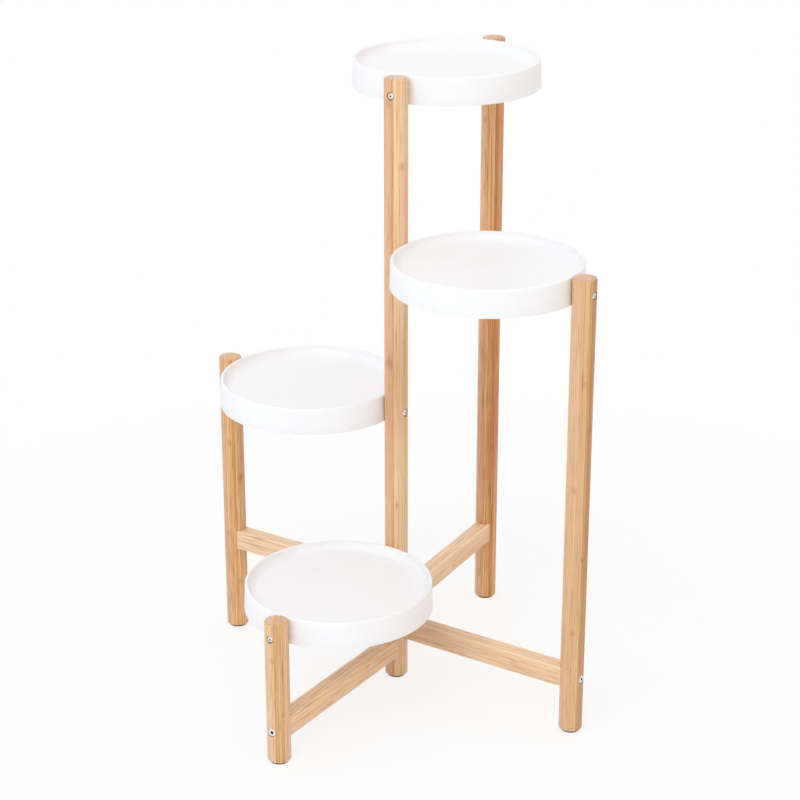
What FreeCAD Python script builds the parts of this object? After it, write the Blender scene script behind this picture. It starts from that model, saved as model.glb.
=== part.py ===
import FreeCAD, Part

import os

import Sketcher
from FreeCAD import Placement, Rotation, Vector

# Tiered plant stand: a tall centre post with four rails set square about it, an outer post at the
# end of each rail, and four round dish trays, each held between the centre post and an outer post.
# The frame is turned and planed bamboo, the trays are moulded plastic. Millimetres, +Z up, origin
# on the floor under the centre post; the shortest post stands in front, at -Y.

doc = FreeCAD.newDocument("TieredPlantStand")
sheet = doc.addObject("Spreadsheet::Sheet", "Sizes")

SIZES = [
    # posts: turned from laminated bamboo
    ("post_diameter", 25),
    ("front_post_top", 163),
    ("left_post_top", 335),
    ("right_post_top", 508),
    ("tall_post_top", 680),
    ("post_top_round", 1.5),
    ("post_foot_chamfer", 2),
    ("pad_thickness", 2),
    ("pad_diameter", 20),
    # rails: planed bamboo bars, one level each, housed in notches of the posts
    ("rail_width", 18),
    ("rail_height", 22),
    ("rail_gap", 3),
    ("first_rail_bottom", 27),
    ("rail_edge_round", 1),
    ("back_arm_turn", 4.5),
    # trays: moulded dishes with a drafted skirt, open and ribbed underneath
    ("tray_diameter", 200),
    ("tray_height", 29),
    ("tray_draft", 2),
    ("tray_wall", 2.5),
    ("rim_width", 3.4),
    ("rim_outer_round", 1.6),
    ("rim_inner_chamfer", 1),
    ("dish_depth", 10),
    ("dish_round", 8.5),
    ("underside_slope", 5),
    ("rim_below_top", 0.5),
    ("saddle_depth", 1.2),
    ("saddle_gap", 0.3),
    ("rib_count", 8),
    ("rib_thickness", 2),
    ("rib_recess", 3),
    ("hub_diameter", 36),
    ("weld_overlap", 0.8),
    ("boss_width", 14),
    ("boss_length", 14.5),
    # tray screws and the square nuts that they draw against the bosses
    ("screw_diameter", 4),
    ("screw_length", 35),
    ("screw_head_diameter", 7),
    ("screw_head_height", 2.4),
    ("screw_seat_depth", 3.4),
    ("nut_width", 7),
    ("nut_thickness", 2.2),
    ("nut_web", 5),
    ("nut_headroom", 0.5),
    ("nut_slot_gap", 0.2),
    # rail bolts and the threaded inserts in the rail ends
    ("bolt_diameter", 5),
    ("bolt_length", 30),
    ("bolt_head_diameter", 9),
    ("bolt_head_height", 2.8),
    ("bolt_seat_depth", 3.5),
    ("insert_diameter", 8),
    ("insert_length", 12),
    ("tip_room", 4),
    # clearances, each on the radius
    ("bore_clearance", 0.3),
    ("screw_head_clearance", 0.8),
    ("thread_clearance", 0.05),
]
for row, (alias, size) in enumerate(SIZES, start=1):
    sheet.set(f"A{row}", alias)
    sheet.set(f"B{row}", str(size))
    sheet.setAlias(f"B{row}", alias)
doc.recompute()

# Lengths that follow from the sizes. "Along" an arm is measured outward from the centre post's axis.
POST_RADIUS = "Sizes.post_diameter / 2"
SPACING = "2 * (Sizes.tray_diameter / 2 + Sizes.post_diameter / 2 - Sizes.saddle_depth)"
RAIL_SEAT = "sqrt((Sizes.post_diameter / 2) ^ 2 - (Sizes.rail_width / 2) ^ 2)"
RAIL_PITCH = "(Sizes.rail_height + Sizes.rail_gap)"
TRAY_FLOOR_UNDERSIDE = "(Sizes.tray_height - Sizes.dish_depth - Sizes.tray_wall)"
SCREW_HEIGHT_IN_TRAY = f"({TRAY_FLOOR_UNDERSIDE} - Sizes.nut_headroom - Sizes.nut_width / 2)"

# Every arm: its name, its direction from +X, and the top of its outer post. The rails climb one
# level from arm to arm in this order, so that their bolts pass each other in the centre post.
ARMS = [
    ("front", "270", "Sizes.front_post_top"),
    ("right", "0", "Sizes.right_post_top"),
    ("back", "(90 + Sizes.back_arm_turn)", "Sizes.tall_post_top"),
    ("left", "180", "Sizes.left_post_top"),
]


def rail_bottom(level):
    """Height of the underside of the rail on this level."""
    return f"(Sizes.first_rail_bottom + {level} * {RAIL_PITCH})"


def bolt_height(level):
    """Height of the bolts of the rail on this level: the middle of the rail."""
    return f"({rail_bottom(level)} + Sizes.rail_height / 2)"


def tray_bottom(post_top):
    """Height of the bottom edge of the tray that belongs to an outer post."""
    return f"({post_top} - Sizes.rim_below_top - Sizes.tray_height)"


def screw_height(post_top):
    """Height of the two screws of the tray that belongs to an outer post."""
    return f"({tray_bottom(post_top)} + {SCREW_HEIGHT_IN_TRAY})"


def value(expression):
    """The number that an expression of the sheet's sizes gives."""
    found = sheet.evalExpression(expression)
    return float(getattr(found, "Value", found))


def new_body(name):
    body = doc.addObject("PartDesign::Body", name)
    body.Label = name
    body.AllowCompound = True
    return body


def new_sketch(body, plane, rise="0", turn=None):
    """A sketch on one of the body's own origin planes, raised by rise.

    On the XZ plane, rise is the height of the sketch's own horizontal axis, and turn swings the
    sketch about the vertical, so that its horizontal axis points along an arm.
    """
    sketch = body.newObject("Sketcher::SketchObject", f"{body.Name}_sketch")
    support = next(item for item in body.Origin.OriginFeatures if item.Role == plane)
    sketch.AttachmentSupport = (support, "")
    sketch.MapMode = "FlatFace"
    if turn is not None:
        sketch.AttachmentOffset = Placement(Vector(), Rotation(Vector(0, 1, 0), value(turn)))
        sketch.setExpression("AttachmentOffset.Rotation.Angle", turn)
    axis = "y" if plane == "XZ_Plane" else "z"
    sketch.setExpression(f"AttachmentOffset.Base.{axis}", rise)
    return sketch


def outline(sketch, corners):
    """A closed outline through corners, each an (x, y) pair of expressions."""
    first = sketch.GeometryCount
    spots = [Vector(value(x), value(y), 0) for x, y in corners]
    for start, end in zip(spots, spots[1:] + spots[:1]):
        sketch.addGeometry(Part.LineSegment(start, end))
    for place, sizes in enumerate(corners):
        line = first + place
        line_before = first + (place - 1) % len(corners)
        sketch.addConstraint(Sketcher.Constraint("Coincident", line_before, 2, line, 1))
        for kind, size in zip(("DistanceX", "DistanceY"), sizes):
            number = sketch.addConstraint(Sketcher.Constraint(kind, -1, 1, line, 1, value(size)))
            sketch.setExpression(f"Constraints[{number}]", size)


def rectangle(sketch, left, right, low, high):
    outline(sketch, [(left, low), (right, low), (right, high), (left, high)])


def circle(sketch, radius, along="0"):
    """A circle with its centre on the sketch's horizontal axis."""
    spot = Vector(value(along), 0, 0)
    number = sketch.addGeometry(Part.Circle(spot, Vector(0, 0, 1), value(radius)))
    for kind, size in (("DistanceX", along), ("DistanceY", "0")):
        held = sketch.addConstraint(Sketcher.Constraint(kind, -1, 1, number, 3, value(size)))
        sketch.setExpression(f"Constraints[{held}]", size)
    held = sketch.addConstraint(Sketcher.Constraint("Radius", number, value(radius)))
    sketch.setExpression(f"Constraints[{held}]", radius)


def pad(body, sketch, length, midplane=False):
    feature = body.newObject("PartDesign::Pad", f"{body.Name}_pad")
    feature.Profile = sketch
    feature.Midplane = midplane
    feature.setExpression("Length", length)
    doc.recompute()
    return feature


def revolve(body, sketch, axis="H_Axis"):
    feature = body.newObject("PartDesign::Revolution", f"{body.Name}_revolution")
    feature.Profile = sketch
    feature.ReferenceAxis = (sketch, [axis])
    feature.Angle = 360
    doc.recompute()
    return feature


def cut(body, kind, sketch, **settings):
    """A Pocket or Groove, checked to have taken material away."""
    before = body.Shape.Volume
    feature = body.newObject(f"PartDesign::{kind}", f"{body.Name}_{kind.lower()}")
    feature.Profile = sketch
    for name, setting in settings.items():
        setattr(feature, name, setting)
    return feature, before


def check_cut(body, before):
    doc.recompute()
    if not body.Shape.Volume < before:
        raise RuntimeError(f"a cut in {body.Label} took nothing away")


def groove(body, sketch, axis="H_Axis"):
    _, before = cut(body, "Groove", sketch, ReferenceAxis=(sketch, [axis]), Angle=360)
    check_cut(body, before)


def pocket(body, sketch, length, midplane=False, upward=False):
    feature, before = cut(body, "Pocket", sketch, Midplane=midplane, Reversed=upward)
    feature.setExpression("Length", length)
    check_cut(body, before)


def ease(body, kind, edges, size):
    """Rounds edges of a body with a Fillet, or bevels them with a Chamfer."""
    eased = body.Tip
    feature = body.newObject(f"PartDesign::{kind}", f"{body.Name}_{kind.lower()}")
    feature.Base = (eased, edges)
    feature.setExpression({"Fillet": "Radius", "Chamfer": "Size"}[kind], size)
    doc.recompute()


def rings(body, radius, height):
    """Names of the round edges about the body's own Z axis with this radius and height."""
    names = []
    for number, edge in enumerate(body.Shape.Edges, start=1):
        curve = edge.Curve
        if not isinstance(curve, Part.Circle):
            continue
        off = (curve.Center - Vector(0, 0, value(height))).Length
        if abs(curve.Radius - value(radius)) < 0.001 and off < 0.001:
            names.append(f"Edge{number}")
    return names


def place(body, along="0", direction="0", rise="0", turn="0"):
    """Stands a body on an arm: along it, raised, and turned about the vertical."""
    body.Placement = Placement(Vector(), Rotation(Vector(0, 0, 1), value(turn)))
    body.setExpression("Placement.Base.x", f"({along}) * cos({direction})")
    body.setExpression("Placement.Base.y", f"({along}) * sin({direction})")
    body.setExpression("Placement.Base.z", rise)
    body.setExpression("Placement.Rotation.Angle", turn)


def both_ends(profile):
    """A profile at the centre post, and its mirror image at the outer post of the same arm."""
    return [profile, [(f"{SPACING} - ({along})", across) for along, across in profile]]


# --- Posts and their foot pads ---------------------------------------------------------------


def stepped_bore(body, height, turn, seat, head, head_clearance, shank):
    """A bore right through a post: wide on the far side for a head, then narrow for the shank."""
    sketch = new_sketch(body, "XZ_Plane", height, turn)
    wide = f"{head} / 2 + {head_clearance}"
    narrow = f"{shank} / 2 + Sizes.bore_clearance"
    outline(
        sketch,
        [
            ("-Sizes.post_diameter", "0"),
            ("-Sizes.post_diameter", wide),
            (f"{seat} - {POST_RADIUS}", wide),
            (f"{seat} - {POST_RADIUS}", narrow),
            ("Sizes.post_diameter", narrow),
            ("Sizes.post_diameter", "0"),
        ],
    )
    groove(body, sketch)


def make_post(name, top, joints):
    """A turned post. joints lists what meets it: the direction, the rail's level, its tray's post top."""
    body = new_body(name)
    sketch = new_sketch(body, "XY_Plane", "Sizes.pad_thickness")
    circle(sketch, POST_RADIUS)
    pad(body, sketch, f"{top} - Sizes.pad_thickness")
    ease(body, "Fillet", rings(body, POST_RADIUS, top), "Sizes.post_top_round")
    foot_edge = rings(body, POST_RADIUS, "Sizes.pad_thickness")
    ease(body, "Chamfer", foot_edge, "Sizes.post_foot_chamfer")
    for direction, level, post_top in joints:
        # the notch has a flat floor as wide as the rail, and ledges over and under the rail
        sketch = new_sketch(body, "XZ_Plane", rail_bottom(level), direction)
        rectangle(sketch, RAIL_SEAT, "Sizes.post_diameter", "0", "Sizes.rail_height")
        pocket(body, sketch, "Sizes.post_diameter", midplane=True)
        stepped_bore(
            body,
            bolt_height(level),
            direction,
            "Sizes.bolt_seat_depth",
            "Sizes.bolt_head_diameter",
            "Sizes.bore_clearance",
            "Sizes.bolt_diameter",
        )
        stepped_bore(
            body,
            screw_height(post_top),
            direction,
            "Sizes.screw_seat_depth",
            "Sizes.screw_head_diameter",
            "Sizes.screw_head_clearance",
            "Sizes.screw_diameter",
        )
    return body


def make_pad(name):
    """A soft disc stuck under a post."""
    body = new_body(name)
    sketch = new_sketch(body, "XY_Plane")
    circle(sketch, "Sizes.pad_diameter / 2")
    pad(body, sketch, "Sizes.pad_thickness")
    return body


all_joints = [(direction, level, top) for level, (_, direction, top) in enumerate(ARMS)]
parts = [make_post("post_centre", "Sizes.tall_post_top", all_joints), make_pad("foot_pad_centre")]
for level, (arm, direction, top) in enumerate(ARMS):
    for body in (make_post(f"post_{arm}", top, [("0", level, top)]), make_pad(f"foot_pad_{arm}")):
        # an outer post's own +X side faces the centre post
        place(body, SPACING, direction, "0", f"{direction} + 180")
        parts.append(body)

# --- Rails -----------------------------------------------------------------------------------


def make_rail(name):
    """A planed bar between the notch floors, bored at each end for an insert and a bolt's tip."""
    body = new_body(name)
    sketch = new_sketch(body, "YZ_Plane", RAIL_SEAT)
    rectangle(sketch, "-Sizes.rail_width / 2", "Sizes.rail_width / 2", "0", "Sizes.rail_height")
    bar = pad(body, sketch, f"{SPACING} - 2 * {RAIL_SEAT}")
    long_edges = [
        f"Edge{number}"
        for number, edge in enumerate(body.Shape.Edges, start=1)
        if abs(edge.Length - bar.Length.Value) < 0.001
    ]
    ease(body, "Fillet", long_edges, "Sizes.rail_edge_round")
    pocket_radius = "Sizes.insert_diameter / 2 + Sizes.bore_clearance"
    tip_radius = "Sizes.bolt_diameter / 2 + Sizes.bore_clearance"
    insert_end = f"{RAIL_SEAT} + Sizes.insert_length"
    bore = [
        ("0", "0"),
        ("0", pocket_radius),
        (insert_end, pocket_radius),
        (insert_end, tip_radius),
        (f"{insert_end} + Sizes.tip_room", tip_radius),
        (f"{insert_end} + Sizes.tip_room", "0"),
    ]
    sketch = new_sketch(body, "XZ_Plane", "Sizes.rail_height / 2", "0")
    for profile in both_ends(bore):
        outline(sketch, profile)
    groove(body, sketch)
    return body


for level, (arm, direction, _) in enumerate(ARMS):
    rail = make_rail(f"rail_{arm}")
    place(rail, "0", direction, rail_bottom(level), direction)
    parts.append(rail)

# --- Trays -----------------------------------------------------------------------------------

TRAY_TOP_RADIUS = "(Sizes.tray_diameter / 2 - Sizes.tray_height * tan(Sizes.tray_draft))"
DISH_RADIUS = f"({TRAY_TOP_RADIUS} - Sizes.rim_width)"
DISH_FLOOR = "(Sizes.tray_height - Sizes.dish_depth)"
SKIRT_INSIDE = "(Sizes.tray_diameter / 2 - Sizes.tray_wall)"
SLOPE_TOP = f"({TRAY_FLOOR_UNDERSIDE} + Sizes.underside_slope)"


def make_tray(name):
    """A dish with a drafted skirt, ribs and two nut bosses underneath, and a saddle for each post."""
    body = new_body(name)
    sketch = new_sketch(body, "XZ_Plane", "0", "0")
    outline(
        sketch,
        [
            ("0", "0"),
            ("Sizes.tray_diameter / 2", "0"),
            (TRAY_TOP_RADIUS, "Sizes.tray_height"),
            ("0", "Sizes.tray_height"),
        ],
    )
    revolve(body, sketch, "V_Axis")
    sketch = new_sketch(body, "XZ_Plane", "0", "0")
    rectangle(sketch, "0", DISH_RADIUS, DISH_FLOOR, "2 * Sizes.tray_height")
    groove(body, sketch, "V_Axis")
    rim_outside = rings(body, TRAY_TOP_RADIUS, "Sizes.tray_height")
    ease(body, "Fillet", rim_outside, "Sizes.rim_outer_round")
    ease(body, "Fillet", rings(body, DISH_RADIUS, DISH_FLOOR), "Sizes.dish_round")
    rim_inside = rings(body, DISH_RADIUS, "Sizes.tray_height")
    ease(body, "Chamfer", rim_inside, "Sizes.rim_inner_chamfer")
    # the hollow underneath slopes up behind the round of the dish
    sketch = new_sketch(body, "XZ_Plane", "0", "0")
    outline(
        sketch,
        [
            ("0", "0"),
            (SKIRT_INSIDE, "0"),
            (f"{SKIRT_INSIDE} - {SLOPE_TOP} * tan(Sizes.tray_draft)", SLOPE_TOP),
            (f"{DISH_RADIUS} - Sizes.underside_slope", TRAY_FLOOR_UNDERSIDE),
            ("0", TRAY_FLOOR_UNDERSIDE),
        ],
    )
    groove(body, sketch, "V_Axis")

    # hub ring and radial ribs hang from the underside of the dish floor and stop above the bottom
    web_height = f"{TRAY_FLOOR_UNDERSIDE} + Sizes.weld_overlap - Sizes.rib_recess"
    sketch = new_sketch(body, "XY_Plane", "Sizes.rib_recess")
    circle(sketch, "Sizes.hub_diameter / 2")
    circle(sketch, "Sizes.hub_diameter / 2 - Sizes.rib_thickness")
    pad(body, sketch, web_height)
    sketch = new_sketch(body, "XY_Plane", "Sizes.rib_recess")
    rectangle(
        sketch,
        "Sizes.hub_diameter / 2 - Sizes.rib_thickness / 2",
        f"{SKIRT_INSIDE} + Sizes.weld_overlap",
        "-Sizes.rib_thickness / 2",
        "Sizes.rib_thickness / 2",
    )
    # the first rib stands half a step off the arm, clear of the boss
    sketch.AttachmentOffset = Placement(Vector(), Rotation(Vector(0, 0, 1), 1))
    sketch.setExpression("AttachmentOffset.Base.z", "Sizes.rib_recess")
    sketch.setExpression("AttachmentOffset.Rotation.Angle", "180 / Sizes.rib_count")
    rib = pad(body, sketch, web_height)
    pattern = body.newObject("PartDesign::PolarPattern", f"{name}_ribs")
    pattern.Originals = [rib]
    pattern.Axis = (sketch, ["N_Axis"])
    pattern.Angle = 360
    pattern.setExpression("Occurrences", "Sizes.rib_count")
    body.Tip = pattern
    doc.recompute()

    # nut bosses behind the skirt, then the saddles, the screw bores and the nut slots
    skirt_weld = f"{SKIRT_INSIDE} - Sizes.saddle_depth / 2"
    boss_end = f"{SKIRT_INSIDE} - Sizes.boss_length"
    half_width = "Sizes.boss_width / 2"
    sketch = new_sketch(body, "XY_Plane")
    rectangle(sketch, boss_end, skirt_weld, f"-{half_width}", half_width)
    rectangle(sketch, f"-({boss_end})", f"-({skirt_weld})", f"-{half_width}", half_width)
    pad(body, sketch, f"{TRAY_FLOOR_UNDERSIDE} + Sizes.weld_overlap")
    sketch = new_sketch(body, "XY_Plane")
    for post_axis in (f"{SPACING} / 2", f"-({SPACING}) / 2"):
        circle(sketch, f"{POST_RADIUS} + Sizes.saddle_gap", post_axis)
    pocket(body, sketch, "Sizes.tray_height", upward=True)
    bore = "Sizes.screw_diameter / 2 + Sizes.bore_clearance"
    sketch = new_sketch(body, "XZ_Plane", SCREW_HEIGHT_IN_TRAY, "0")
    half_tray = "Sizes.tray_diameter / 2"
    rectangle(sketch, f"{boss_end} - Sizes.boss_length", half_tray, "0", bore)
    rectangle(sketch, f"-{half_tray}", f"-({boss_end} - Sizes.boss_length)", "0", bore)
    groove(body, sketch)
    slot_front = f"({SPACING} / 2 - {POST_RADIUS} - Sizes.nut_web)"
    slot_back = f"({slot_front} - Sizes.nut_thickness - Sizes.nut_slot_gap)"
    slot_half = "(Sizes.nut_width / 2 + Sizes.nut_slot_gap)"
    sketch = new_sketch(body, "XY_Plane")
    rectangle(sketch, slot_back, slot_front, f"-{slot_half}", slot_half)
    rectangle(sketch, f"-{slot_front}", f"-{slot_back}", f"-{slot_half}", slot_half)
    pocket(body, sketch, f"{SCREW_HEIGHT_IN_TRAY} + Sizes.nut_width / 2", upward=True)
    return body


for arm, direction, top in ARMS:
    tray = make_tray(f"tray_{arm}")
    place(tray, f"{SPACING} / 2", direction, tray_bottom(top), direction)
    parts.append(tray)

# --- Fasteners: each node holds the eight alike, two on every arm -----------------------------


def make_turned_set(name, profile, heights):
    """Turned pieces at both ends of every arm, each a profile of (along, radius) revolved."""
    body = new_body(name)
    for (_, direction, _), height in zip(ARMS, heights):
        sketch = new_sketch(body, "XZ_Plane", height, direction)
        for end in both_ends(profile):
            outline(sketch, end)
        revolve(body, sketch)
    return body


screw_heights = [screw_height(top) for _, _, top in ARMS]
bolt_heights = [bolt_height(level) for level in range(len(ARMS))]

screw_seat = f"(Sizes.screw_seat_depth - {POST_RADIUS})"
parts.append(
    make_turned_set(
        "tray_screws",
        [
            (f"{screw_seat} - Sizes.screw_head_height", "0"),
            (f"{screw_seat} - Sizes.screw_head_height", "Sizes.screw_head_diameter / 4"),
            (f"{screw_seat} - Sizes.screw_head_height / 2", "Sizes.screw_head_diameter / 2"),
            (screw_seat, "Sizes.screw_head_diameter / 2"),
            (screw_seat, "Sizes.screw_diameter / 2"),
            (f"{screw_seat} + Sizes.screw_length", "Sizes.screw_diameter / 2"),
            (f"{screw_seat} + Sizes.screw_length", "0"),
        ],
        screw_heights,
    )
)

# square nuts, slid up into the slots of the tray bosses
nuts = new_body("tray_nuts")
nut_front = f"({POST_RADIUS} + Sizes.nut_web)"
nut_back = f"({nut_front} + Sizes.nut_thickness)"
nut_bore = "Sizes.screw_diameter / 2 + Sizes.thread_clearance"
half_nut = "Sizes.nut_width / 2"
for (_, direction, _), height in zip(ARMS, screw_heights):
    sketch = new_sketch(nuts, "XZ_Plane", height, direction)
    corners = [
        (nut_front, f"-{half_nut}"),
        (nut_back, f"-{half_nut}"),
        (nut_back, half_nut),
        (nut_front, half_nut),
    ]
    for end in both_ends(corners):
        outline(sketch, end)
    pad(nuts, sketch, "Sizes.nut_width", midplane=True)
    sketch = new_sketch(nuts, "XZ_Plane", height, direction)
    corners = [(nut_front, "0"), (nut_back, "0"), (nut_back, nut_bore), (nut_front, nut_bore)]
    for end in both_ends(corners):
        outline(sketch, end)
    groove(nuts, sketch)
parts.append(nuts)

bolt_seat = f"(Sizes.bolt_seat_depth - {POST_RADIUS})"
parts.append(
    make_turned_set(
        "rail_bolts",
        [
            (f"{bolt_seat} - Sizes.bolt_head_height", "0"),
            (f"{bolt_seat} - Sizes.bolt_head_height", "Sizes.bolt_head_diameter / 2"),
            (bolt_seat, "Sizes.bolt_head_diameter / 2"),
            (bolt_seat, "Sizes.bolt_diameter / 2"),
            (f"{bolt_seat} + Sizes.bolt_length", "Sizes.bolt_diameter / 2"),
            (f"{bolt_seat} + Sizes.bolt_length", "0"),
        ],
        bolt_heights,
    )
)

insert_bore = "Sizes.bolt_diameter / 2 + Sizes.thread_clearance"
parts.append(
    make_turned_set(
        "rail_inserts",
        [
            (RAIL_SEAT, insert_bore),
            (RAIL_SEAT, "Sizes.insert_diameter / 2"),
            (f"{RAIL_SEAT} + Sizes.insert_length", "Sizes.insert_diameter / 2"),
            (f"{RAIL_SEAT} + Sizes.insert_length", insert_bore),
        ],
        bolt_heights,
    )
)

# --- Checks and files -------------------------------------------------------------------------

doc.recompute()
failed = [item.Label for item in doc.Objects if {"Invalid", "Error"} & set(item.State)]
if failed:
    raise RuntimeError(f"not built: {failed}")
os.makedirs("parts", exist_ok=True)
for body in parts:
    if body.Shape.isNull() or not body.Shape.isValid():
        raise RuntimeError(f"{body.Label} has no valid shape")
    body.Shape.exportStep(f"parts/{body.Label}.step")
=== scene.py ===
import math

import bpy
from mathutils import Matrix, Vector


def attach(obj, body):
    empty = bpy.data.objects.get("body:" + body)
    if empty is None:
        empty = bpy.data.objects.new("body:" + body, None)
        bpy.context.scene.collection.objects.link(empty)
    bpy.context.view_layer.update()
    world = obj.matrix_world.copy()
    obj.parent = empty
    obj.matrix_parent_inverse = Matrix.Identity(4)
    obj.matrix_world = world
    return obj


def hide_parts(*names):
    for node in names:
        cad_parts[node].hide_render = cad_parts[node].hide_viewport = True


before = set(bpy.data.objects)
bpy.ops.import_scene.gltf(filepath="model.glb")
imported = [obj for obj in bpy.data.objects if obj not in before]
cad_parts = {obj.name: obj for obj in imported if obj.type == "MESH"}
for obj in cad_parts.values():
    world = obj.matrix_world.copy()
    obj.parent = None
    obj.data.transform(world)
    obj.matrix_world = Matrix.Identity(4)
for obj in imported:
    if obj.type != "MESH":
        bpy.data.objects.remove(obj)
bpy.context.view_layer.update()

# --- Posts ---------------------------------------------------------------------------------------
# Five round posts of laminated bamboo: strips glued into a blank, turned to 25 mm, sanded and given
# a clear satin lacquer. The tops are rounded and the feet bevelled. Each post is notched for the rail
# that ends on it, with a sunk seat for the head of each rail bolt and tray screw; the bores through
# the post for the bolt and screw are left out.

MM = 0.001
UP = Vector((0, 0, 1))
ORIGIN = Vector((0, 0, 0))
POST_RADIUS = 12.5 * MM
POST_SIDES = 96
TOP_ROUND = 1.5 * MM
FOOT_BEVEL = 2 * MM
PAD_THICKNESS = 2 * MM
TRAY_RADIUS = 100 * MM
SADDLE_DEPTH = 1.2 * MM
SPACING = 2 * (TRAY_RADIUS + POST_RADIUS - SADDLE_DEPTH)
RAIL_WIDTH = 18 * MM
RAIL_HEIGHT = 22 * MM
RAIL_PITCH = 25 * MM
FIRST_RAIL_BOTTOM = 27 * MM
RAIL_SEAT = math.sqrt(POST_RADIUS**2 - (RAIL_WIDTH / 2) ** 2)
BOLT_SEAT_DEPTH = 3.5 * MM
BOLT_SEAT_RADIUS = 4.8 * MM
SCREW_SEAT_DEPTH = 3.4 * MM
SCREW_SEAT_RADIUS = 4.3 * MM
SCREW_DROP = 17 * MM  # from the top of an outer post to its tray screw
CLOSE = 0.05 * MM  # a corner this near a size is at it
CRISP_ANGLE = 32  # degrees; edges sharper than this stay crisp in the shading

# name, direction of the arm in degrees from +X, top of its outer post; the rails climb in this order
ARMS = [
    ("front", 270, 163 * MM),
    ("right", 0, 508 * MM),
    ("back", 94.5, 680 * MM),
    ("left", 180, 335 * MM),
]
CENTRE_TOP = 680 * MM


def along(direction, distance):
    """The point on the floor this far from the centre post, in a direction in degrees."""
    turn = math.radians(direction)
    return Vector((math.cos(turn), math.sin(turn), 0)) * distance


def choose(piece):
    """Makes a piece the only one selected, and the active one."""
    bpy.ops.object.select_all(action="DESELECT")
    piece.select_set(True)
    bpy.context.view_layer.objects.active = piece


def edit(piece, kind, wanted):
    """Opens a piece in edit mode with only the edges or faces selected whose corners are wanted."""
    choose(piece)
    bpy.ops.object.mode_set(mode="EDIT")
    bpy.ops.mesh.select_mode(type=kind)
    bpy.ops.mesh.select_all(action="DESELECT")
    bpy.ops.object.mode_set(mode="OBJECT")
    corners = piece.data.vertices
    for part in piece.data.edges if kind == "EDGE" else piece.data.polygons:
        part.select = wanted([corners[number].co for number in part.vertices])
    bpy.ops.object.mode_set(mode="EDIT")


def bevel(piece, wanted, size, steps):
    """Rounds the wanted edges."""
    edit(piece, "EDGE", wanted)
    bpy.ops.mesh.bevel(offset=size, segments=steps, affect="EDGES")
    bpy.ops.object.mode_set(mode="OBJECT")


def ring(radius, height):
    """The test that picks the edges of a ring about the local Z axis."""

    def wanted(corners):
        return all(
            abs(corner.z - height) < CLOSE and abs(corner.xy.length - radius) < CLOSE
            for corner in corners
        )

    return wanted


def place_mesh(piece, matrix):
    """Moves a piece's mesh, and leaves the object at the origin."""
    choose(piece)
    piece.matrix_world = matrix
    bpy.ops.object.transform_apply(location=True, rotation=True, scale=True)


def combine(piece, tool, operation):
    """Cuts a tool's shape out of a piece, or joins it on, and removes the tool."""
    choose(piece)
    joint = piece.modifiers.new("joint", "BOOLEAN")
    joint.operation = operation
    joint.solver = "EXACT"
    joint.object = tool
    bpy.ops.object.modifier_apply(modifier=joint.name)
    bpy.data.objects.remove(tool)


def block(low, high, matrix):
    """A box between two corners, placed by a matrix."""
    bpy.ops.object.select_all(action="DESELECT")
    bpy.ops.mesh.primitive_cube_add(size=1, location=(Vector(low) + Vector(high)) / 2)
    made = bpy.context.active_object
    made.scale = Vector(high) - Vector(low)
    bpy.ops.object.transform_apply(location=True, rotation=True, scale=True)
    place_mesh(made, matrix)
    return made


def rod(radius, start, end, matrix, sides=64):
    """A cylinder along the local X axis from start to end, placed by a matrix."""
    bpy.ops.object.select_all(action="DESELECT")
    bpy.ops.mesh.primitive_cylinder_add(
        vertices=sides,
        radius=radius,
        depth=end - start,
        location=((start + end) / 2, 0, 0),
        rotation=(0, math.radians(90), 0),
    )
    made = bpy.context.active_object
    bpy.ops.object.transform_apply(location=True, rotation=True, scale=True)
    place_mesh(made, matrix)
    return made


def finish(piece, name, material, node):
    """Shades a piece, gives it its material and puts it in the place of its CAD node."""
    choose(piece)
    bpy.ops.object.shade_smooth_by_angle(angle=math.radians(CRISP_ANGLE))
    piece.name = name
    piece.data.name = name
    piece.data.materials.clear()
    piece.data.materials.append(material)
    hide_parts(node)
    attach(piece, "root")


def srgb(code):
    """A hex colour as linear RGBA."""
    parts = [int(code[place : place + 2], 16) / 255 for place in (1, 3, 5)]
    linear = [c / 12.92 if c <= 0.04045 else ((c + 0.055) / 1.055) ** 2.4 for c in parts]
    return (*linear, 1.0)


def add(owner, kind, inputs=(), out=0, **settings):
    """Adds a shader node and gives one of its outputs. inputs are numbers, or what feeds a socket."""
    node = owner.node_tree.nodes.new("ShaderNode" + kind)
    for name, setting in settings.items():
        setattr(node, name, setting)
    for socket, source in dict(inputs).items():
        if isinstance(source, bpy.types.NodeSocket):
            owner.node_tree.links.new(source, node.inputs[socket])
        else:
            node.inputs[socket].default_value = source
    return node.outputs[out] if node.outputs else node


# a Mix node's two colour inputs and its colour output, by number, since several share a name
FIRST, SECOND, MIXED = 6, 7, 2


def new_material(name):
    """A material with no nodes yet."""
    material = bpy.data.materials.new(name)
    material.use_nodes = True
    material.node_tree.nodes.clear()
    return material


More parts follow.
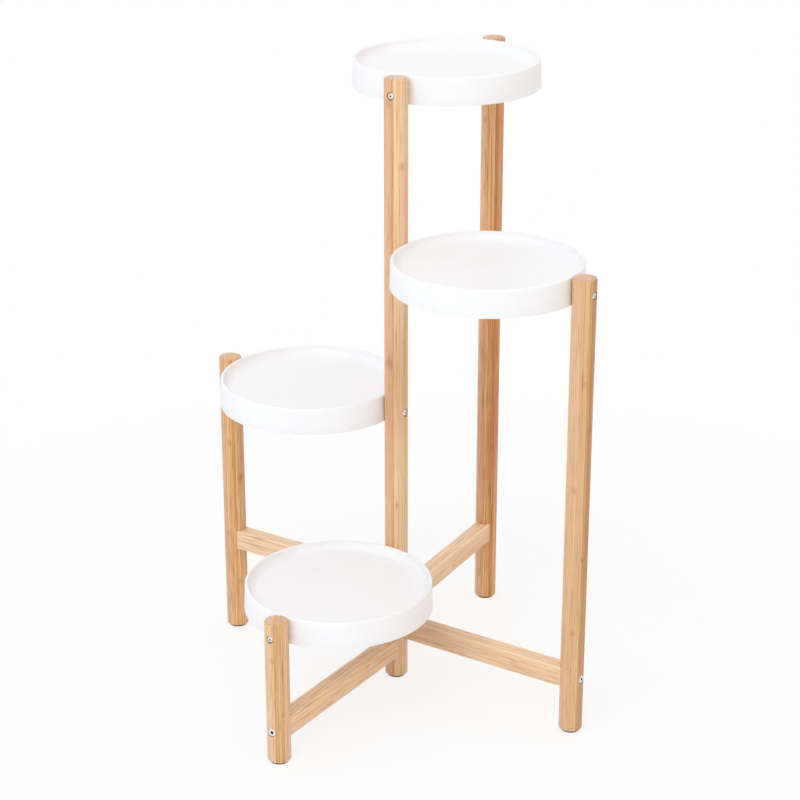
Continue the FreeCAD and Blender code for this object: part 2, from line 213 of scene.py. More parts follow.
def bamboo(name, middle, grain, across, half_width, strips, figure, patches):
    """Laminated bamboo under satin lacquer.

    Strips of differing tone meet in fine glue lines. Fibre bundles run straight along each strip as
    light and dark streaks 1 to 2 mm wide, with finer dark dashes between them. Here and there a
    growth node reddens a strip for some 12 mm and crowds its fibres, and some stretches are deeper
    all round. Cut ends are paler, speckled with the bundles and darker at the rim. The fibres leave
    the lacquer a little uneven, so its sheen is broken along the grain.
    strips are (near edge in mm from the middle, colour), and figure is how strongly the fibres show.
    patches are (across, along, half width, half length, depth), the first four in mm.
    """
    material = new_material(name)
    place = add(material, "TexCoord", out="Object")
    # millimetres from the piece's own middle: X across the strips, Z along the grain
    turn = Matrix((across, grain.cross(across), grain)).transposed().to_euler()
    own_place = {"Vector": place, "Location": middle, "Rotation": turn, "Scale": (MM, MM, MM)}
    local = add(material, "Mapping", own_place, vector_type="TEXTURE")

    def streaks(width, length, detail, offset):
        """Noise drawn out along the grain: width and length in mm, and an offset to tell it apart."""
        moved = add(material, "VectorMath", {0: local, 1: (offset, offset, offset)}, operation="ADD")
        scale = (1 / width, 1 / width, 1 / length)
        scaled = add(material, "VectorMath", {0: moved, 1: scale}, operation="MULTIPLY")
        return add(material, "TexNoise", {"Vector": scaled, "Scale": 1.0, "Detail": detail})

    def stain(colour, pattern, start, end, most, code):
        """Lets a tint through where a pattern rises from start to end, up to a greatest share."""
        rising = {"Value": pattern, "From Min": start, "From Max": end, "To Max": most}
        tones = {"Factor": add(material, "MapRange", rising), FIRST: colour, SECOND: srgb(code)}
        return add(material, "Mix", tones, out=MIXED, data_type="RGBA")

    # strips; their edges wander by half a millimetre
    wander = {"Value": streaks(30, 150, 1, 7), "To Min": -0.5, "To Max": 0.5}
    x = add(material, "SeparateXYZ", {"Vector": local}, out="X")
    x = add(material, "Math", {0: x, 1: add(material, "MapRange", wander)}, operation="ADD")
    share = {"Value": x, "From Min": -half_width, "From Max": half_width}
    bands = add(material, "ValToRGB", {"Fac": add(material, "MapRange", share)})
    ramp = bands.node.color_ramp
    ramp.interpolation = "CONSTANT"
    ramp.elements[0].color = srgb(strips[0][1])
    ramp.elements.remove(ramp.elements[1])
    glue_line = 0.5  # a glue line is 0.1 mm; drawn 0.5 mm wide and faint so that it shows
    glue_tone = 0.82  # of the darker strip beside it
    for (_, before), (edge, code) in zip(strips, strips[1:]):
        left, right = srgb(before), srgb(code)
        glue = [glue_tone * min(a, b) for a, b in zip(left[:3], right[:3])]
        for offset, tone in ((-glue_line / 2, (*glue, 1.0)), (glue_line / 2, right)):
            stop = ramp.elements.new((edge + offset + half_width) / (2 * half_width))
            stop.color = tone

    # fibre bundles, dark and light, the dashes between them, and a slow drift of tone
    dashes = streaks(0.7, 36, 1, 90)
    colour = stain(bands, streaks(1.3, 220, 2, 0), 0.5, 0.64, 0.55 * figure, "#BA6F28")
    colour = stain(colour, streaks(1.6, 260, 2, 40), 0.5, 0.66, 0.55 * figure, "#FFDDB0")
    colour = stain(colour, dashes, 0.57, 0.7, 0.8 * figure, "#9A5218")
    colour = stain(colour, streaks(40, 160, 1, 20), 0.5, 0.75, 0.22, "#D09355")

    # growth nodes and deeper stretches: ovals with a ragged edge, reddened, with crowded fibres
    crowded = {"Value": dashes, "From Min": 0.46, "From Max": 0.62, "To Max": 0.8}
    crowded = add(material, "MapRange", crowded)
    ragged = add(material, "MapRange", {"Value": dashes, "To Min": -0.5, "To Max": 0.5})
    # a wide deeper stretch can be painted shade, as on the right rail towards the centre post
    for mark_across, mark_along, half_wide, half_long, depth in patches:
        centre = (mark_across, 0, mark_along)
        away = add(material, "VectorMath", {0: local, 1: centre}, operation="SUBTRACT")
        oval = (1 / half_wide, 0, 1 / half_long)
        away = add(material, "VectorMath", {0: away, 1: oval}, operation="MULTIPLY")
        away = add(material, "VectorMath", {0: away}, out="Value", operation="LENGTH")
        away = add(material, "Math", {0: away, 1: ragged}, operation="ADD")
        fading = {"Value": away, "From Min": 0.3, "From Max": 1.2, "To Min": depth, "To Max": 0.0}
        blotch = add(material, "MapRange", fading)
        reddened = {"Factor": blotch, FIRST: colour, SECOND: srgb("#B4662A")}
        colour = add(material, "Mix", reddened, out=MIXED, data_type="RGBA")
        fibres = add(material, "Math", {0: blotch, 1: crowded}, operation="MULTIPLY")
        darkened = {"Factor": fibres, FIRST: colour, SECOND: srgb("#7A3E14")}
        colour = add(material, "Mix", darkened, out=MIXED, data_type="RGBA")

    # cut ends: paler, with the bundles as dark specks, and darker towards the rim
    normal = add(material, "TexCoord", out="Normal")
    facing = add(material, "VectorMath", {0: normal, 1: grain}, out="Value", operation="DOT_PRODUCT")
    facing = add(material, "Math", {0: facing}, operation="ABSOLUTE")
    facing = add(material, "MapRange", {"Value": facing, "From Min": 0.75, "From Max": 0.95})
    flat = add(material, "VectorMath", {0: local, 1: (1.0, 1.0, 0.0)}, operation="MULTIPLY")
    specks = add(material, "TexNoise", {"Vector": flat, "Scale": 0.7, "Detail": 3.0})
    rim = add(material, "VectorMath", {0: flat}, out="Value", operation="LENGTH")
    paler = {"Factor": 0.4, FIRST: colour, SECOND: srgb("#EDC8A8")}
    end = add(material, "Mix", paler, out=MIXED, data_type="RGBA")
    end = stain(end, specks, 0.5, 0.66, 0.65, "#8A5230")
    end = stain(end, rim, 0.82 * half_width, half_width, 0.5, "#A86A44")
    sides_and_ends = {"Factor": facing, FIRST: colour, SECOND: end}
    colour = add(material, "Mix", sides_and_ends, out=MIXED, data_type="RGBA")

    sheen = {"Value": dashes, "From Min": 0.3, "From Max": 0.7, "To Min": 0.36, "To Max": 0.52}
    rough = add(material, "MapRange", sheen)
    bump = add(material, "Bump", {"Height": dashes, "Strength": 0.4, "Distance": 0.08 * MM})
    surface = add(
        material,
        "BsdfPrincipled",
        {
            "Base Color": colour,
            "Roughness": rough,
            "Normal": bump,
            "IOR": 1.5,
            "Coat Weight": 0.25,
            "Coat Roughness": 0.3,
        },
    )
    add(material, "OutputMaterial", {"Surface": surface})
    return material


def make_post(arm, foot, top, joints, material):
    """Turns a post, then cuts its notches and the seats for its heads. The bores are out of sight
    behind the heads, and are left out.

    joints lists what meets it: the direction of a rail, its level, and the height of a tray screw.
    """
    length = top - PAD_THICKNESS
    bpy.ops.object.select_all(action="DESELECT")
    bpy.ops.mesh.primitive_cylinder_add(vertices=POST_SIDES, radius=POST_RADIUS, depth=length)
    post = bpy.context.active_object
    bevel(post, ring(POST_RADIUS, length / 2), TOP_ROUND, 5)
    bevel(post, ring(POST_RADIUS, -length / 2), FOOT_BEVEL, 3)
    place_mesh(post, Matrix.Translation(foot + UP * (PAD_THICKNESS + length / 2)))
    for direction, level, screw_height in joints:
        turn = Matrix.Translation(foot) @ Matrix.Rotation(math.radians(direction), 4, "Z")
        low = FIRST_RAIL_BOTTOM + level * RAIL_PITCH
        notch_low = (RAIL_SEAT, -POST_RADIUS, low)
        notch_high = (2 * POST_RADIUS, POST_RADIUS, low + RAIL_HEIGHT)
        combine(post, block(notch_low, notch_high, turn), "DIFFERENCE")
        for height, radius, depth in (
            (low + RAIL_HEIGHT / 2, BOLT_SEAT_RADIUS, BOLT_SEAT_DEPTH),
            (screw_height, SCREW_SEAT_RADIUS, SCREW_SEAT_DEPTH),
        ):
            seat = turn @ Matrix.Translation((0, 0, height))
            combine(post, rod(radius, -2 * POST_RADIUS, depth - POST_RADIUS, seat), "DIFFERENCE")
    finish(post, f"turned_post_{arm}", material, f"post_{arm}")


# from left to right for a viewer at the front right, to whom the blanks show their glue lines
RIGHTWARD = along(33, 1)
# for each post: its strips, how strongly its fibres show, and its patches
POST_WOOD = {
    "centre": (
        [(-12.5, "#E6B388"), (-4.2, "#D3A06A"), (-2.8, "#F3CA9A"), (3.5, "#F1CAA0"), (9, "#E9C194")],
        0.5,
        [
            (-6.6, 376, 4.5, 9, 0.4),
            (5.5, 590, 3, 5, 0.3),
            (1, 212, 3, 5, 0.25),
            (-8, 655, 3, 5, 0.25),
            (8, 96, 3, 5, 0.3),
            (3, 345, 22, 75, 0.2),
        ],
    ),
    "front": (
        [(-12.5, "#EFC59B"), (-2.5, "#D5A062"), (1.0, "#EBBA83"), (3.6, "#DEAB70"), (6, "#E6B98B")],
        0.65,
        [(-5, 122, 3, 4, 0.25), (6, 60, 3, 4, 0.25)],
    ),
    "right": (
        [(-12.5, "#E5B78B"), (-3, "#E1B283"), (0, "#E5B682"), (5.2, "#D19E66"), (8, "#BE8750")],
        0.5,
        [
            (-5, 283, 3, 5, 0.35),
            (3, 400, 3, 4, 0.25),
            (-2, 120, 3, 4, 0.25),
            (9, 350, 3, 6, 0.3),
            (6, 205, 3, 4, 0.25),
        ],
    ),
    "back": (
        [
            (-12.5, "#EDB787"),
            (-7, "#EAB379"),
            (-4, "#F4BA7C"),
            (-1.5, "#E0A35F"),
            (1.2, "#EDAE5E"),
            (3.2, "#C8803B"),
            (6.2, "#D8924E"),
        ],
        0.9,
        [(4.8, 196, 3, 5, 0.4), (-8, 590, 3, 5, 0.3), (8, 452, 3, 5, 0.3), (0, 270, 24, 200, 0.3)],
    ),
    "left": (
        [
            (-12.5, "#DFAC81"),
            (-7.5, "#F2BC84"),
            (-4.2, "#E5AC70"),
            (-2.6, "#EAB06F"),
            (0.4, "#DEA65F"),
            (3.2, "#F3BC82"),
            (7.6, "#DCA973"),
        ],
        0.85,
        [(-2.5, 235, 3, 5, 0.3), (8, 190, 3, 7, 0.4), (-7, 120, 3, 5, 0.25), (4, 60, 3, 4, 0.25)],
    ),
}


def post_bamboo(arm, foot):
    """The bamboo of one post, laid out from its foot."""
    strips, figure, patches = POST_WOOD[arm]
    name = f"bamboo, turned and lacquered, {arm} post"
    return bamboo(name, foot, UP, RIGHTWARD, POST_RADIUS / MM, strips, figure, patches)


centre_joints = [
    (direction, level, top - SCREW_DROP) for level, (_, direction, top) in enumerate(ARMS)
]
make_post("centre", ORIGIN, CENTRE_TOP, centre_joints, post_bamboo("centre", ORIGIN))
for level, (arm, direction, top) in enumerate(ARMS):
    foot = along(direction, SPACING)
    joints = [(direction + 180, level, top - SCREW_DROP)]
    make_post(arm, foot, top, joints, post_bamboo(arm, foot))

# --- Foot pads -----------------------------------------------------------------------------------
# A disc of dark brown moulded rubber, 20 mm across and 2 mm thick, stuck under each post. Only its
# rounded edge shows, as a dark line under the bevelled foot.

PAD_RADIUS = 10 * MM
PAD_EDGE = 0.5 * MM
PAD_SIDES = 64


def pad_rubber():
    """Matt rubber: dark brown, with dust and scuffs that lighten it in patches about 2 mm across."""
    material = new_material("rubber, moulded")
    place = add(material, "TexCoord", out="Object")
    scuffs = add(material, "TexNoise", {"Vector": place, "Scale": 1 / (2 * MM), "Detail": 4.0})
    tones = {"Factor": scuffs, FIRST: srgb("#2B1D15"), SECOND: srgb("#4D392B")}
    colour = add(material, "Mix", tones, out=MIXED, data_type="RGBA")
    bump = add(material, "Bump", {"Height": scuffs, "Strength": 0.4, "Distance": 0.1 * MM})
    surface = add(material, "BsdfPrincipled", {"Base Color": colour, "Roughness": 0.8, "Normal": bump})
    add(material, "OutputMaterial", {"Surface": surface})
    return material


rubber = pad_rubber()
feet = [("centre", ORIGIN)] + [(arm, along(direction, SPACING)) for arm, direction, _ in ARMS]
for arm, foot in feet:
    bpy.ops.object.select_all(action="DESELECT")
    bpy.ops.mesh.primitive_cylinder_add(vertices=PAD_SIDES, radius=PAD_RADIUS, depth=PAD_THICKNESS)
    pad = bpy.context.active_object
    bevel(pad, ring(PAD_RADIUS, -PAD_THICKNESS / 2), PAD_EDGE, 3)
    place_mesh(pad, Matrix.Translation(foot + UP * (PAD_THICKNESS / 2)))
    finish(pad, f"rubber_pad_{arm}", rubber, f"foot_pad_{arm}")

# --- Rails ---------------------------------------------------------------------------------------
# Four bars of the same bamboo, planed to 18 by 22 mm, paler than the posts, with eased edges. Each
# sits in a notch at both ends, one level above the last, and is drawn up by a bolt at each end.

EASED_EDGE = 1 * MM
# for each rail: its strips from the bottom up, how strongly its fibres show, and its patches
# the top strip of each rail, from 9.5 mm up and over the top face, is paler: painted sheen on the top
# face
RAIL_WOOD = {
    "front": (
        [(-11, "#F6CFA8"), (-1, "#FBD1A0"), (9.5, "#FFDCB2")],
        0.7,
        [(5, -40, 3, 5, 0.25), (-6, 30, 3, 5, 0.25)],
    ),
    "right": (
        [(-11, "#FCDAB6"), (-4, "#F8D2AC"), (5, "#FAD6AE"), (9.5, "#FBDAB4")],
        0.65,
        # the last patch, a deeper stretch towards the centre post, is painted shade
        [(2, 45, 3, 5, 0.25), (-7, -20, 3, 4, 0.2), (0, -75, 24, 90, 0.2)],
    ),
    "back": (
        [(-11, "#F5CEA5"), (1, "#F9D3AC"), (9.5, "#FFDFB8")],
        0.7,
        [(-4, 10, 3, 5, 0.2), (5, -55, 3, 4, 0.2)],
    ),
    "left": (
        [(-11, "#F9D6B0"), (2, "#F8D2AA"), (9.5, "#FFE2BE")],
        0.85,
        [(-5, 20, 3, 5, 0.2), (6, -45, 3, 4, 0.2)],
    ),
}
for level, (arm, direction, _) in enumerate(ARMS):
    low = FIRST_RAIL_BOTTOM + level * RAIL_PITCH
    rail = block(
        (RAIL_SEAT, -RAIL_WIDTH / 2, low),
        (SPACING - RAIL_SEAT, RAIL_WIDTH / 2, low + RAIL_HEIGHT),
        Matrix.Identity(4),
    )
    bevel(rail, lambda ends: abs(ends[0].x - ends[1].x) > RAIL_HEIGHT, EASED_EDGE, 4)
    place_mesh(rail, Matrix.Rotation(math.radians(direction), 4, "Z"))
    strips, figure, patches = RAIL_WOOD[arm]
    name = f"bamboo, planed and lacquered, {arm} rail"
    middle = along(direction, SPACING / 2) + UP * (low + RAIL_HEIGHT / 2)
    half = RAIL_HEIGHT / MM / 2
    wood = bamboo(name, middle, along(direction, 1), UP, half, strips, figure, patches)
    finish(rail, f"planed_rail_{arm}", wood, f"rail_{arm}")

# --- Rail bolts and inserts ----------------------------------------------------------------------
# Eight bright nickel-plated bolts with flat heads 9 mm across and a hexagon socket, one at each end
# of every rail, each from the far side of its post. They pull on brass inserts let into the rail
# ends, which keep their modelled shape and only get their finish here.

BOLT_HEIGHTS = [FIRST_RAIL_BOTTOM + level * RAIL_PITCH + RAIL_HEIGHT / 2 for level in range(4)]
BOLT_HEAD_RADIUS = 4.5 * MM
BOLT_HEAD_HEIGHT = 2.8 * MM
BOLT_RADIUS = 2.5 * MM
BOLT_LENGTH = 30 * MM
BOLT_EDGE = 0.5 * MM
SOCKET_RADIUS = 2 * MM
SOCKET_DEPTH = 2 * MM
SOCKET_SIDES = 6
STOPPED_APART = 37  # degrees from one tightened head to the next


def head_and_shank(head_radius, head_height, shank_radius, length, edge, steps):
    """A fastener along X, made in one piece: the head's underside at 0, the shank towards +X."""
    made = rod(head_radius, -head_height, 0, Matrix.Identity(4))
    edit(made, "FACE", lambda corners: all(abs(corner.x) < CLOSE for corner in corners))
    bpy.ops.mesh.inset(thickness=head_radius - shank_radius)
    bpy.ops.mesh.extrude_region_move(TRANSFORM_OT_translate={"value": (length, 0, 0)})
    bpy.ops.object.mode_set(mode="OBJECT")

    def face_edge(ends):
        return all(
            abs(end.x + head_height) < CLOSE and abs(end.yz.length - head_radius) < CLOSE
            for end in ends
        )

    bevel(made, face_edge, edge, steps)
    return made


def copy_of(piece):
    """A second piece like the first, with a mesh of its own."""
    made = piece.copy()
    made.data = piece.data.copy()
    bpy.context.scene.collection.objects.link(made)
    return made


def at_both_ends(pattern, seat_depth, heights):
    """Copies a fastener to both ends of every arm, each at its own angle, as one piece."""
    copies = []
    seat = POST_RADIUS - seat_depth
    for (_, direction, _), height in zip(ARMS, heights):
        turn = Matrix.Rotation(math.radians(direction), 4, "Z")
        for spot, facing in ((-seat, 0), (SPACING + seat, 180)):
            copy = copy_of(pattern)
            stopped_at = Matrix.Rotation(math.radians(STOPPED_APART * len(copies)), 4, "X")
            facing = Matrix.Rotation(math.radians(facing), 4, "Z")
            place_mesh(copy, turn @ Matrix.Translation((spot, 0, height)) @ facing @ stopped_at)
            copies.append(copy)
    bpy.data.objects.remove(pattern)
    bpy.ops.object.select_all(action="DESELECT")
    for copy in copies:
        copy.select_set(True)
    bpy.context.view_layer.objects.active = copies[0]
    bpy.ops.object.join()
    return copies[0]


def plated(name, tint, dull, painted_shade_tone, polished, rubbed):
    """Barrel-plated steel: bright, with cloudy patches 1.7 mm across where it was rubbed dull, and
    painted shade inside the drive recess, whose faces take a dark tone.
    """
    material = new_material(name)
    place = add(material, "TexCoord", out="Object")
    clouds = add(material, "TexNoise", {"Vector": place, "Scale": 1 / (1.667 * MM), "Detail": 3.0})
    recess_shade_mask = add(material, "Attribute", out="Fac", attribute_name="recess_shade_mask")
    worn = {"Value": clouds, "From Min": 0.4, "From Max": 0.7, "To Max": 0.5}
    tones = {"Factor": add(material, "MapRange", worn), FIRST: srgb(tint), SECOND: srgb(dull)}
    colour = add(material, "Mix", tones, out=MIXED, data_type="RGBA")
    # painted shade: the faces marked as the drive recess take the dark tone
    shade = {"Factor": recess_shade_mask, FIRST: colour, SECOND: srgb(painted_shade_tone)}
    colour = add(material, "Mix", shade, out=MIXED, data_type="RGBA")
    gloss = {"Value": clouds, "From Min": 0.3, "From Max": 0.7, "To Min": polished, "To Max": rubbed}
    rough = add(material, "MapRange", gloss)
    bump = add(material, "Bump", {"Height": clouds, "Strength": 0.2, "Distance": 0.05 * MM})
    surface = add(
        material,
        "BsdfPrincipled",
        {"Base Color": colour, "Metallic": 1.0, "Roughness": rough, "Normal": bump},
    )
    add(material, "OutputMaterial", {"Surface": surface})
    return material


def mark_recess(piece, radius, floor, face):
    """Marks the faces of a drive recess for painted shade; they lie inside a radius between its floor
    and the face.
    """
    recess_shade_mask = piece.data.attributes.new("recess_shade_mask", "FLOAT", "FACE")
    for polygon in piece.data.polygons:
        spot = polygon.center
        inside = spot.yz.length < radius and face + CLOSE < spot.x < floor + CLOSE
        recess_shade_mask.data[polygon.index].value = 1.0 if inside else 0.0


bolt = head_and_shank(BOLT_HEAD_RADIUS, BOLT_HEAD_HEIGHT, BOLT_RADIUS, BOLT_LENGTH, BOLT_EDGE, 3)
socket_floor = SOCKET_DEPTH - BOLT_HEAD_HEIGHT
socket = rod(SOCKET_RADIUS, -2 * BOLT_HEAD_HEIGHT, socket_floor, Matrix.Identity(4), SOCKET_SIDES)
combine(bolt, socket, "DIFFERENCE")
mark_recess(bolt, SOCKET_RADIUS, socket_floor, -BOLT_HEAD_HEIGHT)
bolts = at_both_ends(bolt, BOLT_SEAT_DEPTH, BOLT_HEIGHTS)
# the darkest of the three tones is painted shade inside the hexagon socket
nickel = plated(
    "nickel plate on steel, tumbled", "#F1F2F4", "#D5D5D6", "#23262E", polished=0.22, rubbed=0.36
)
finish(bolts, "flat_head_bolts", nickel, "rail_bolts")


def turned_brass():
    """Brass off the lathe: warm yellow, with tool marks 0.4 mm apart that spread the highlight."""
    material = new_material("brass, turned")
    place = add(material, "TexCoord", out="Object")
    marks = add(material, "TexNoise", {"Vector": place, "Scale": 1 / (0.4 * MM), "Detail": 1.0})
    rough = add(material, "MapRange", {"Value": marks, "To Min": 0.25, "To Max": 0.45})
    tones = {"Factor": marks, FIRST: srgb("#C79A45"), SECOND: srgb("#E2C27A")}
    colour = add(material, "Mix", tones, out=MIXED, data_type="RGBA")
    brass = {"Base Color": colour, "Metallic": 1.0, "Roughness": rough}
    add(material, "OutputMaterial", {"Surface": add(material, "BsdfPrincipled", brass)})
    return material


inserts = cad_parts["rail_inserts"]
inserts.data.materials.clear()
inserts.data.materials.append(turned_brass())

# --- Trays ---------------------------------------------------------------------------------------
# Four round dishes, injection moulded in white polypropylene, 200 mm across and 29 mm high, with a
# 2 degree draft, a rounded rim and a dish 10 mm deep. Underneath they are hollow, with a hub, eight
# ribs and two nut bosses. A saddle at each end of the arm's diameter cups the post.

TRAY_HEIGHT = 29 * MM
TRAY_SIDES = 192
TRAY_DRAFT = 2  # degrees
TRAY_TOP_RADIUS = TRAY_RADIUS - TRAY_HEIGHT * math.tan(math.radians(TRAY_DRAFT))
RIM_BELOW_TOP = 0.5 * MM
RIM_WIDTH = 3.4 * MM
RIM_OUTER_ROUND = 1.6 * MM
RIM_INNER_ROUND = 1 * MM
DISH_RADIUS = TRAY_TOP_RADIUS - RIM_WIDTH
DISH_DEPTH = 10 * MM
DISH_FLOOR = TRAY_HEIGHT - DISH_DEPTH
DISH_ROUND = 8.5 * MM
TRAY_WALL = 2.5 * MM
SKIRT_INSIDE = TRAY_RADIUS - TRAY_WALL
SKIRT_EDGE = 0.4 * MM
UNDERSIDE = DISH_FLOOR - TRAY_WALL
UNDERSIDE_ROUND = 4.5 * MM
RIB_COUNT = 8
HALF_RIB = 1 * MM
RIB_BOTTOM = 3 * MM
HUB_RADIUS = 18 * MM
BOSS_LENGTH = 14.5 * MM
BOSS_BOTTOM = 0.2 * MM
HALF_BOSS = 7 * MM
WELD = 0.8 * MM
NUT_WEB = 5 * MM
HALF_NUT = 3.5 * MM
NUT_THICKNESS = 2.2 * MM
NUT_GAP = 0.2 * MM
SADDLE_GAP = 0.3 * MM


def moulded_white():
    """Polypropylene from a polished mould: soft white and satin. Flow marks some 30 mm across
    change the gloss, a ripple about 2 mm across breaks the highlights, and light sinks in a little.
    """
    material = new_material("white polypropylene, moulded")
    place = add(material, "TexCoord", out="Object")
    flow = add(material, "TexNoise", {"Vector": place, "Scale": 1 / (30.3 * MM), "Detail": 3.0})
    ripple = add(material, "TexNoise", {"Vector": place, "Scale": 1 / (2 * MM), "Detail": 2.0})
    tones = {"Factor": flow, FIRST: srgb("#F6F4F5"), SECOND: srgb("#FBFAFB")}
    colour = add(material, "Mix", tones, out=MIXED, data_type="RGBA")
    gloss = {"Value": flow, "From Min": 0.3, "From Max": 0.7, "To Min": 0.34, "To Max": 0.48}
    rough = add(material, "MapRange", gloss)
    bump = add(material, "Bump", {"Height": ripple, "Strength": 0.15, "Distance": 0.1 * MM})
    surface = add(
        material,
        "BsdfPrincipled",
        {
            "Base Color": colour,
            "Roughness": rough,
            "Normal": bump,
            "IOR": 1.49,
            "Subsurface Weight": 0.08,
            "Subsurface Radius": (1.0, 0.85, 0.8),
            "Subsurface Scale": 3 * MM,
        },
    )
    add(material, "OutputMaterial", {"Surface": surface})
    return material


def level_faces(height):
    """The test that picks the flat faces at a height."""
    return lambda corners: all(abs(corner.z - height) < CLOSE for corner in corners)


# the dish and its hollow, pushed out of a disc
bpy.ops.object.select_all(action="DESELECT")
bpy.ops.mesh.primitive_cylinder_add(
    vertices=TRAY_SIDES, radius=TRAY_RADIUS, depth=TRAY_HEIGHT, location=UP * (TRAY_HEIGHT / 2)
)
tray = bpy.context.active_object
bpy.ops.object.transform_apply(location=True, rotation=True, scale=True)
edit(tray, "FACE", level_faces(TRAY_HEIGHT))
draft = TRAY_TOP_RADIUS / TRAY_RADIUS
bpy.ops.transform.resize(value=(draft, draft, 1), center_override=(0, 0, TRAY_HEIGHT))
bpy.ops.mesh.inset(thickness=TRAY_TOP_RADIUS - DISH_RADIUS)
bpy.ops.mesh.extrude_region_move(TRANSFORM_OT_translate={"value": (0, 0, DISH_FLOOR - TRAY_HEIGHT)})
bpy.ops.object.mode_set(mode="OBJECT")
edit(tray, "FACE", level_faces(0))
bpy.ops.mesh.inset(thickness=TRAY_WALL)
bpy.ops.mesh.extrude_region_move(TRANSFORM_OT_translate={"value": (0, 0, UNDERSIDE)})
bpy.ops.object.mode_set(mode="OBJECT")
for radius, height, size, steps in (
    (DISH_RADIUS, DISH_FLOOR, DISH_ROUND, 12),
    (DISH_RADIUS, TRAY_HEIGHT, RIM_INNER_ROUND, 4),
    (TRAY_TOP_RADIUS, TRAY_HEIGHT, RIM_OUTER_ROUND, 6),
    (SKIRT_INSIDE, UNDERSIDE, UNDERSIDE_ROUND, 4),
    (TRAY_RADIUS, 0, SKIRT_EDGE, 2),
):
    bevel(tray, ring(radius, height), size, steps)

# the hub, the ribs, and the bosses with their nut slots, joined on under the dish
on_end = Matrix.Rotation(math.radians(-90), 4, "Y")
hub = rod(HUB_RADIUS, RIB_BOTTOM, UNDERSIDE + WELD, on_end)
combine(hub, rod(HUB_RADIUS - 2 * HALF_RIB, 0, 2 * UNDERSIDE, on_end), "DIFFERENCE")
combine(tray, hub, "UNION")
for step in range(RIB_COUNT):
    turn = Matrix.Rotation(math.radians((step + 0.5) * 360 / RIB_COUNT), 4, "Z")
    rib_low = (HUB_RADIUS - HALF_RIB, -HALF_RIB, RIB_BOTTOM)
    rib_high = (SKIRT_INSIDE + WELD, HALF_RIB, UNDERSIDE + WELD)
    combine(tray, block(rib_low, rib_high, turn), "UNION")
slot_front = SPACING / 2 - POST_RADIUS - NUT_WEB
slot_top = TRAY_HEIGHT - SCREW_DROP + RIM_BELOW_TOP + HALF_NUT
for side in (0, 180):
    turn = Matrix.Rotation(math.radians(side), 4, "Z")
    boss_low = (SKIRT_INSIDE - BOSS_LENGTH, -HALF_BOSS, BOSS_BOTTOM)
    boss_high = (SKIRT_INSIDE + WELD / 2, HALF_BOSS, UNDERSIDE + WELD)
    boss = block(boss_low, boss_high, turn)
    slot_back = slot_front - NUT_THICKNESS - NUT_GAP
    slot_low = (slot_back, -HALF_NUT - NUT_GAP, -TRAY_WALL)
    slot_high = (slot_front, HALF_NUT + NUT_GAP, slot_top)
    combine(boss, block(slot_low, slot_high, turn), "DIFFERENCE")
    combine(tray, boss, "UNION")
for side in (-1, 1):
    upright = Matrix.Translation((side * SPACING / 2, 0, 0)) @ on_end
    saddle = rod(POST_RADIUS + SADDLE_GAP, -TRAY_WALL, TRAY_HEIGHT + TRAY_WALL, upright, POST_SIDES)
    combine(tray, saddle, "DIFFERENCE")

white_plastic = moulded_white()
for arm, direction, top in ARMS:
    copy = copy_of(tray)
    middle = along(direction, SPACING / 2) + UP * (top - RIM_BELOW_TOP - TRAY_HEIGHT)
    turn = Matrix.Rotation(math.radians(direction), 4, "Z")
    place_mesh(copy, Matrix.Translation(middle) @ turn)
    finish(copy, f"moulded_tray_{arm}", white_plastic, f"tray_{arm}")
bpy.data.objects.remove(tray)

# --- Tray screws and nuts ------------------------------------------------------------------------
# Eight zinc-plated M4 screws with domed heads 7 mm across and a cross recess, each sunk in its post
# in a seat wide enough to leave a dark ring. They draw on square nuts, which keep their modelled
# shape and only get their finish here.

SCREW_HEAD_RADIUS = 3.5 * MM
SCREW_HEAD_HEIGHT = 2.4 * MM
SCREW_HEAD_ROUND = 1.2 * MM
SCREW_RADIUS = 2 * MM
SCREW_LENGTH = 35 * MM
CROSS_RADIUS = 1.5 * MM
HALF_CROSS_WIDTH = 0.4 * MM
CROSS_DEPTH = 1.5 * MM
SCREW_HEIGHTS = [top - SCREW_DROP for _, _, top in ARMS]

screw = head_and_shank(
    SCREW_HEAD_RADIUS, SCREW_HEAD_HEIGHT, SCREW_RADIUS, SCREW_LENGTH, SCREW_HEAD_ROUND, 6
)
cross_floor = CROSS_DEPTH - SCREW_HEAD_HEIGHT
for turn in (0, 90):
    low = (-2 * SCREW_HEAD_HEIGHT, -CROSS_RADIUS, -HALF_CROSS_WIDTH)
    high = (cross_floor, CROSS_RADIUS, HALF_CROSS_WIDTH)
    combine(screw, block(low, high, Matrix.Rotation(math.radians(turn), 4, "X")), "DIFFERENCE")
mark_recess(screw, CROSS_RADIUS, cross_floor, -SCREW_HEAD_HEIGHT)
screws = at_both_ends(screw, SCREW_SEAT_DEPTH, SCREW_HEIGHTS)
# the darkest of the three tones is painted shade inside the cross recess
zinc = plated(
    "zinc plate on steel, bright", "#F0F1F3", "#D2D4D8", "#5A5F69", polished=0.24, rubbed=0.38
)
finish(screws, "cross_head_screws", zinc, "tray_screws")
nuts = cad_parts["tray_nuts"]
nuts.data.materials.clear()
nuts.data.materials.append(zinc)

# --- Floor, light and camera ---------------------------------------------------------------------
# A plain white floor that keeps a soft shadow and fades into a white surround, one large soft lamp
# high in front, and light from all round that is stronger overhead and warmer on the right.

FLOOR_SIZE = 30
# light from the surround, as linear colour
HORIZON = (0.575, 0.58, 0.59, 1.0)
ZENITH = (0.93, 0.945, 0.955, 1.0)
WARM_SIDE = (1.0, 0.73, 0.55, 1.0)
WHITE = (1.0, 1.0, 1.0, 1.0)
LAMP_AIM = Vector((0, 0, 350)) * MM
LAMP_DISTANCE = 4.2
CAMERA_AIM = Vector((3.4, 2.2, 330.2)) * MM
CAMERA_DISTANCE = 2.289


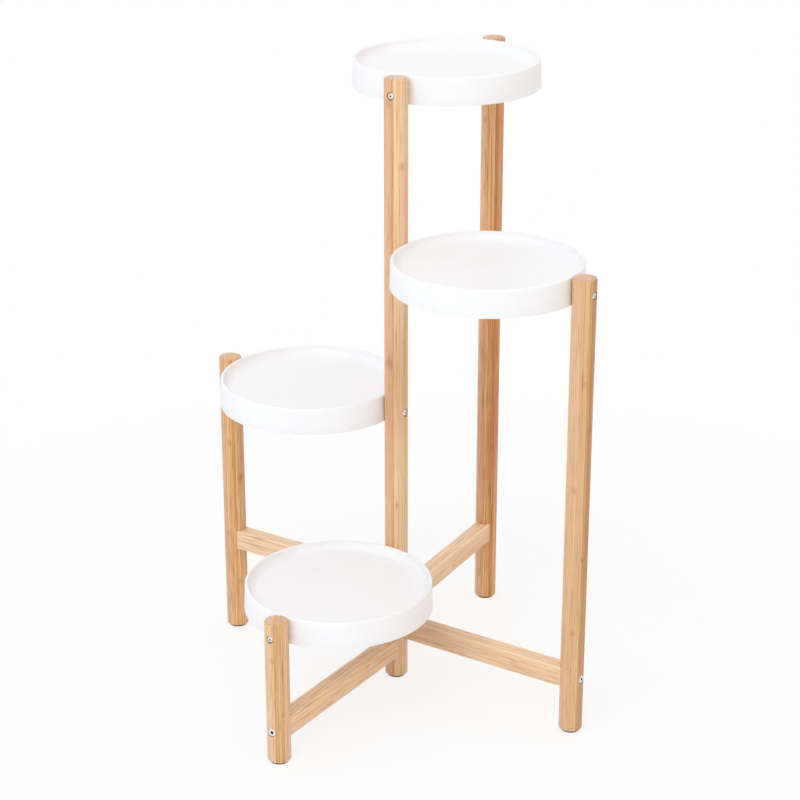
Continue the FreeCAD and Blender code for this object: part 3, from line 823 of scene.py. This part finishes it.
def in_view(owner):
    """1 for what the camera sees, straight or by way of gloss or glass, and 0 for all other light."""
    path = add(owner, "LightPath").node.outputs
    seen = {0: path["Is Camera Ray"], 1: path["Is Glossy Ray"]}
    seen = add(owner, "Math", seen, operation="MAXIMUM")
    seen = {0: seen, 1: path["Is Transmission Ray"]}
    return add(owner, "Math", seen, operation="MAXIMUM")


def studio_floor():
    """White paper: the camera sees it nearly as bright as the surround, and shadows only faintly.
    From 0.4 m to 0.9 m out it fades into the surround.
    """
    material = new_material("white paper, matt")
    place = add(material, "TexCoord", out="Object")
    distance = add(material, "VectorMath", {0: place}, out="Value", operation="LENGTH")
    fading = {"Value": distance, "From Min": 0.4, "From Max": 0.9, "To Min": 0.78, "To Max": 1.0}
    fade = add(material, "MapRange", fading)
    share = add(material, "Math", {0: in_view(material), 1: fade}, operation="MULTIPLY")
    paper = add(material, "BsdfDiffuse", {"Color": srgb("#FAFAFA")})
    glow = add(material, "Emission", {"Color": WHITE, "Strength": 1.0})
    surface = add(material, "MixShader", {"Fac": share, 1: paper, 2: glow})
    add(material, "OutputMaterial", {"Surface": surface})
    return material


bpy.ops.object.select_all(action="DESELECT")
bpy.ops.mesh.primitive_plane_add(size=FLOOR_SIZE)
floor = bpy.context.active_object
floor.name = "floor"
floor.data.materials.append(studio_floor())

world = bpy.data.worlds.new("white surround")
bpy.context.scene.world = world
world.use_nodes = True
world.node_tree.nodes.clear()
towards = add(world, "TexCoord", out="Generated")
right = add(world, "VectorMath", {0: towards, 1: RIGHTWARD}, out="Value", operation="DOT_PRODUCT")
right = add(world, "MapRange", {"Value": right, "From Min": 0.5, "From Max": 1.0})
upward = add(world, "SeparateXYZ", {"Vector": towards}, out="Z")
tones = {"Factor": upward, FIRST: HORIZON, SECOND: ZENITH}
dome = add(world, "Mix", tones, out=MIXED, data_type="RGBA")
tones = {"Factor": right, FIRST: dome, SECOND: WARM_SIDE}
lit = add(world, "Mix", tones, out=MIXED, data_type="RGBA")
tones = {"Factor": in_view(world), FIRST: lit, SECOND: WHITE}
shown = add(world, "Mix", tones, out=MIXED, data_type="RGBA")
background = add(world, "Background", {"Color": shown, "Strength": 1.0})
add(world, "OutputWorld", {"Surface": background})


def back_from(azimuth, elevation):
    """The direction from the object to a viewer: azimuth from the front towards the right."""
    turn, rise = math.radians(azimuth), math.radians(elevation)
    level = Vector((math.sin(turn), -math.cos(turn), 0)) * math.cos(rise)
    return level + UP * math.sin(rise)


# the lamp hangs to the camera's left, and is a little cool
key = bpy.data.lights.new("key lamp", "AREA")
key.shape = "SQUARE"
key.size = 2.6
key.energy = 58
key.color = (0.86, 0.95, 1.0)
key_back = back_from(8, 42)
lamp = bpy.data.objects.new("key lamp", key)
lamp.location = LAMP_AIM + key_back * LAMP_DISTANCE
lamp.rotation_euler = key_back.to_track_quat("Z", "Y").to_euler()
bpy.context.scene.collection.objects.link(lamp)

# the camera looks from the front right, about 22 degrees down
lens = bpy.data.cameras.new("camera")
lens.sensor_width = 36
lens.lens = 96.4
camera_back = back_from(33.17, 21.58)
camera = bpy.data.objects.new("camera", lens)
camera.location = CAMERA_AIM + camera_back * CAMERA_DISTANCE
camera.rotation_euler = camera_back.to_track_quat("Z", "Y").to_euler()
bpy.context.scene.collection.objects.link(camera)
bpy.context.scene.camera = camera
bpy.context.scene.view_settings.view_transform = "Standard"
